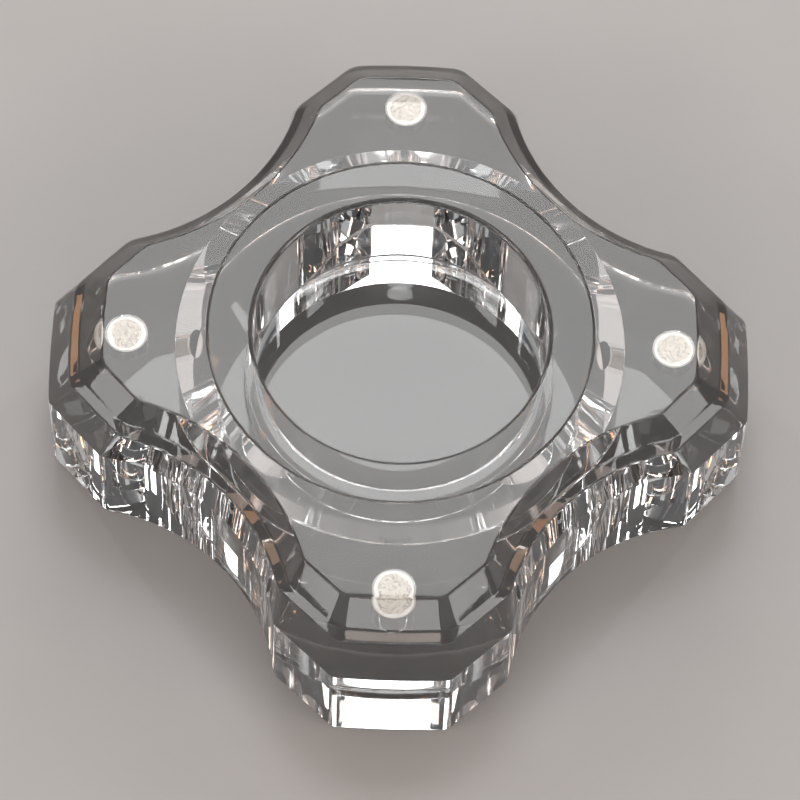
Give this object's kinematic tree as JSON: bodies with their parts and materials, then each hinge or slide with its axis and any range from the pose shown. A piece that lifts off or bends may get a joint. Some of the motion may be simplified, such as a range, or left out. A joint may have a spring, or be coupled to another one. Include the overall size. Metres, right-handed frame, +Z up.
{
  "type": "clear display holder",
  "caption": "Thick clear block with short bevelled arms round a deep round seat, and a small disc magnet sealed inside each arm.",
  "frame": {"origin": "centre of the underside, on the table, below the middle of the round seat", "axes": "+Z up out of the seat; +X and +Y along two of the arms; the front arm points to -Y"},
  "size_m": [0.106, 0.106, 0.0286],
  "materials": {
    "block_acrylic": "polished clear cast acrylic",
    "cup_acrylic": "polished clear cast acrylic",
    "magnet_plating": "bright nickel plate, slightly satin",
    "clear_glue": "cured clear adhesive with a pale rim"
  },
  "bodies": {
    "root": {"base_block": "block_acrylic", "top_plate": "block_acrylic", "centre_cup": "cup_acrylic", "front_magnet": "magnet_plating", "right_magnet": "magnet_plating", "back_magnet": "magnet_plating", "left_magnet": "magnet_plating", "front_glue": "clear_glue", "right_glue": "clear_glue", "back_glue": "clear_glue", "left_glue": "clear_glue"}
  },
  "joints": []
}
